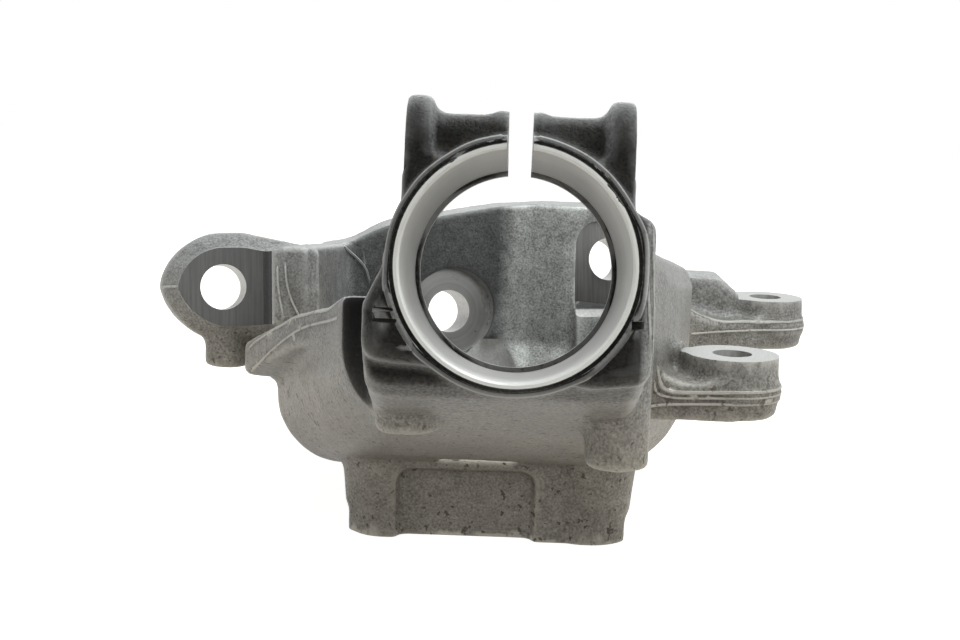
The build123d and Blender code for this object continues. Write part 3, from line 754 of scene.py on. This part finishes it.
def cast_aluminium():
    """Shot-blasted casting: mottled, grainy and frosted in patches, with edges lighter partly from wear and
    partly as painted highlight. Painted shade darkens its creases, the clamp's end and the far wall's left
    part; painted light brightens the far wall's right part and warms its low outer faces.
    """
    n = Nodes("cast_aluminium")
    broad = n.noise(30, 3)
    mottle = n.noise(240, 4)
    grain = n.noise(1250, 2)
    tone = n.sum(n.span(broad, 0.3, 0.7, -0.07, 0.07), n.span(mottle, 0.3, 0.7, -0.10, 0.10))
    tone = n.span(n.sum(tone, n.span(grain, 0.25, 0.75, -0.26, 0.26)), -0.3, 0.3)
    light = n.blend(tone, grey(0.105, 0.02), grey(0.42, 0.0))
    # Painted shade: the near-black greys of the clamp's front-facing end.
    painted_shade = n.blend(tone, grey(0.004, 0.08), grey(0.028, 0.05))
    frost = n.product(n.span(n.noise(420, 5, 0.7), 0.56, 0.72), n.span(n.noise(55, 2), 0.48, 0.62))
    light = n.blend(n.product(frost, 0.6), light, FROST)
    edge = n.make("ShaderNodeNewGeometry").outputs["Pointiness"]
    # Convex edges are lighter: partly wear, partly painted highlight.
    light = n.blend(n.span(edge, 0.505, 0.56, 0.0, 0.7), light, EDGE_WEAR_AND_HIGHLIGHT)
    # Painted shade: concave creases and hollow corners are painted darker.
    light = n.blend(n.span(edge, 0.495, 0.44, 0.0, 0.75), light, CREASE_PAINTED_SHADE)
    # The clamp end's edges are lighter as well: partly wear, partly painted highlight.
    painted_shade = n.blend(n.span(edge, 0.505, 0.57, 0.0, 0.65), painted_shade, grey(0.34, 0.0))
    # Painted shade left of the far wall's crease and painted light right of it.
    light = far_wall_painted_light_and_shade(n, broad, light)
    outer = n.span(n.axis("Y"), 0.020, 0.050, 1.0, 0.0)
    # Painted light: the low outer faces are tinted warm, as by light thrown up from the floor.
    warm = n.product(n.span(n.axis("Z"), 0.050, 0.085, 0.75, 0.0), outer)
    light = n.blend(warm, light, n.tint(light, WARM_PAINTED_BOUNCE))
    # Painted shade over the clamp's end, and a painted shadow in the hollow on its left.
    end, painted_shadow = clamp_end_painted_shade(n)
    skin = n.blend(end, light, painted_shade)
    skin = n.blend(n.product(painted_shadow, 0.9), skin, grey(0.006))
    n.put(n.shader.inputs["Base Color"], n.blend(n.product(specks(n, outer), 0.85), skin, SPECK))
    n.shader.inputs["Metallic"].default_value = 0.08
    n.put(n.shader.inputs["Specular IOR Level"], n.span(end, 0.0, 1.0, 0.25, 0.06))
    n.put(n.shader.inputs["Roughness"], n.span(mottle, 0.3, 0.7, 0.36, 0.54))
    rough = n.bump(grain, 0.00022, 0.8)
    n.put(n.shader.inputs["Normal"], n.bump(n.noise(520, 3), 0.00035, 0.6, rough))
    return n.material


def tool_marks(n, axes, turned):
    """Place in which a noise becomes rings round the axis, or else lines along its Y."""
    if axes is None:
        return n.place
    parts = n.local(axes)
    if not turned:
        slow = n.product(parts["Y"], 0.03)
        return n.make("ShaderNodeCombineXYZ", X=parts["X"], Y=slow, Z=parts["Z"]).outputs["Vector"]
    flat = n.make("ShaderNodeCombineXYZ", X=parts["X"], Y=parts["Y"])
    reach = n.make("ShaderNodeVectorMath")
    reach.operation = "LENGTH"
    n.put(reach.inputs[0], flat.outputs["Vector"])
    return n.make("ShaderNodeCombineXYZ", X=reach.outputs["Value"], Z=parts["Z"]).outputs["Vector"]


def machined(name, value, roughness, axes=None, lines=900.0, metallic=0.9, depth=0.00003, turned=True,
             tone=0.2):
    """Machined metal of a given grey, with fine tool marks and faint clouds."""
    n = Nodes(name)
    streak = n.noise(lines, 4, 0.65, tool_marks(n, axes, turned))
    cloud = n.noise(70, 3)
    mix = n.sum(n.span(streak, 0.3, 0.7, -tone, tone), n.span(cloud, 0.3, 0.7, -0.5 * tone, 0.5 * tone))
    low, high = grey(value * 0.55, 0.02), grey(min(1.0, value * 1.45), 0.01)
    n.put(n.shader.inputs["Base Color"], n.blend(n.span(mix, -0.4, 0.4), low, high))
    n.shader.inputs["Metallic"].default_value = metallic
    n.put(n.shader.inputs["Roughness"], n.span(cloud, 0.3, 0.7, roughness - 0.05, roughness + 0.05))
    n.put(n.shader.inputs["Normal"], n.bump(streak, depth, 0.6))
    return n.material


def finishes():
    """One material for each name in FINISHES."""
    milled = machined("milled", 0.42, 0.35, WORLD, 700, turned=False)
    made = {
        "cast": cast_aluminium(),
        "slit": machined("sawn", 0.30, 0.35),
        "foot": milled,
        "ears": machined("milled_pale", 0.38, 0.5, None, 1500, 0.2),
        # Painted shade: the lug's and the rear seat's milled faces, which face the front, get far darker
        # greys than the other milled faces.
        "lug": machined("milled_grey_painted_shade", 0.085, 0.40, TIE_ROD, 1100, turned=False),
        "ball": machined("milled_seat_painted_shade", 0.165, 0.40, REAR_BALL, 1100, turned=False),
        "pinch": milled,
        "bolt": milled,
        "bore": machined("bored", 0.98, 0.34, CLAMP, 1300, 0.05, 0.00001, tone=0.10),
        "drill": machined("drilled", 0.50, 0.4, None, 500, 0.4),
        "seat": machined("turned", 0.36, 0.30, MID_BALL, 900, 0.6),
        "step": machined("milled_bright", 0.85, 0.35, None, 900, 0.15),
        # Painted shade: nearly black milled metal for the step's corner by the lug.
        "painted_shade": machined("milled_painted_shade", 0.03, 0.4, None, 900, 0.5),
    }
    return [made[name] for name in FINISHES]


def knuckle():
    """The dressed casting, in place of the plain solid."""
    obj = bpy.data.objects.new("knuckle_dressed", unmachined())
    bpy.context.scene.collection.objects.link(obj)
    soften(obj)
    machine(obj)
    paint(obj, finishes())
    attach(obj, "root")
    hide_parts("knuckle_casting")
    return obj


# ---- stage ----
FLOOR_COLOUR = (0.52, 0.47, 0.41, 1)
FLOOR_GLOW = 0.91            # what is added where the eye meets the floor, so that lit paper is white
WORLD_LIGHT = 0.08
AIM = (0, -0.03, 0.07)
LAMP_COLOUR = (0.95, 1.0, 0.98)
LAMPS = [                    # name, place, size and power
    ("top", (0.30, -0.15, 1.10), (0.5, 0.5), 10.5),
    ("left", (-0.95, -0.55, 0.42), (0.45, 0.45), 2.5),
    ("right", (1.10, -0.40, 0.42), (0.5, 0.5), 1.9),
    ("front", (0.30, -1.30, 0.36), (0.6, 0.4), 2.0),
    ("back", (0.0, 1.2, 0.7), (0.9, 0.6), 3.5),
]
CAMERA_PLACE = (-0.0045, -0.5305, 0.152)
CAMERA_TILT = 80.8           # degrees up from straight down
CAMERA_ROLL = 2
LENS, SENSOR = 56.25, 36


def backdrop_level(tree, lighting, seen):
    """Strength of the backdrop: one where it lights the part, another where eye, metal or glass sees it."""
    path = tree.nodes.new("ShaderNodeLightPath")
    total = path.outputs["Is Camera Ray"]
    for name in ("Is Glossy Ray", "Is Transmission Ray"):
        most = tree.nodes.new("ShaderNodeMath")
        most.operation = "MAXIMUM"
        tree.links.new(total, most.inputs[0])
        tree.links.new(path.outputs[name], most.inputs[1])
        total = most.outputs[0]
    level = tree.nodes.new("ShaderNodeMapRange")
    level.inputs["To Min"].default_value = lighting
    level.inputs["To Max"].default_value = seen
    tree.links.new(total, level.inputs["Value"])
    return level.outputs["Result"]


def area_lamp(name, place, size, power):
    """Rectangular lamp that looks at the part."""
    lamp = bpy.data.lights.new(name, "AREA")
    lamp.shape = "RECTANGLE"
    lamp.size, lamp.size_y = size
    lamp.energy = power
    lamp.color = LAMP_COLOUR
    obj = bpy.data.objects.new(name, lamp)
    bpy.context.scene.collection.objects.link(obj)
    obj.location = place
    obj.rotation_euler = (Vector(AIM) - Vector(place)).to_track_quat("-Z", "Y").to_euler()


def floor_material():
    """Pale floor: the eye sees it as white paper that keeps the part's faint shadow."""
    material = bpy.data.materials.new("floor")
    material.use_nodes = True
    tree = material.node_tree
    paper = tree.nodes["Principled BSDF"]
    paper.inputs["Base Color"].default_value = FLOOR_COLOUR
    paper.inputs["Roughness"].default_value = 0.9
    glow = tree.nodes.new("ShaderNodeEmission")
    tree.links.new(backdrop_level(tree, 0.0, FLOOR_GLOW), glow.inputs["Strength"])
    both = tree.nodes.new("ShaderNodeAddShader")
    tree.links.new(paper.outputs[0], both.inputs[0])
    tree.links.new(glow.outputs[0], both.inputs[1])
    tree.links.new(both.outputs[0], tree.nodes["Material Output"].inputs["Surface"])
    return material


def stage():
    """Floor, white surroundings and lamps."""
    mesh = bpy.data.meshes.new("floor")
    mesh.from_pydata([(-3, -3, 0), (3, -3, 0), (3, 3, 0), (-3, 3, 0)], [], [(0, 1, 2, 3)])
    floor = bpy.data.objects.new("floor", mesh)
    bpy.context.scene.collection.objects.link(floor)
    mesh.materials.append(floor_material())
    world = bpy.data.worlds.new("studio")
    bpy.context.scene.world = world
    world.use_nodes = True
    tree = world.node_tree
    background = tree.nodes["Background"]
    background.inputs["Color"].default_value = (1, 1, 1, 1)
    tree.links.new(backdrop_level(tree, WORLD_LIGHT, 1.0), background.inputs["Strength"])
    for lamp in LAMPS:
        area_lamp(*lamp)


def camera():
    data = bpy.data.cameras.new("camera")
    data.sensor_width = SENSOR
    data.lens = LENS
    data.clip_start, data.clip_end = 0.01, 20
    cam = bpy.data.objects.new("camera", data)
    bpy.context.scene.collection.objects.link(cam)
    cam.matrix_world = (Matrix.Translation(CAMERA_PLACE) @ Matrix.Rotation(math.radians(CAMERA_TILT), 4, "X")
                        @ Matrix.Rotation(math.radians(CAMERA_ROLL), 4, "Z"))
    bpy.context.scene.camera = cam


bpy.context.scene.view_settings.view_transform = "Standard"
camera()
stage()
knuckle()
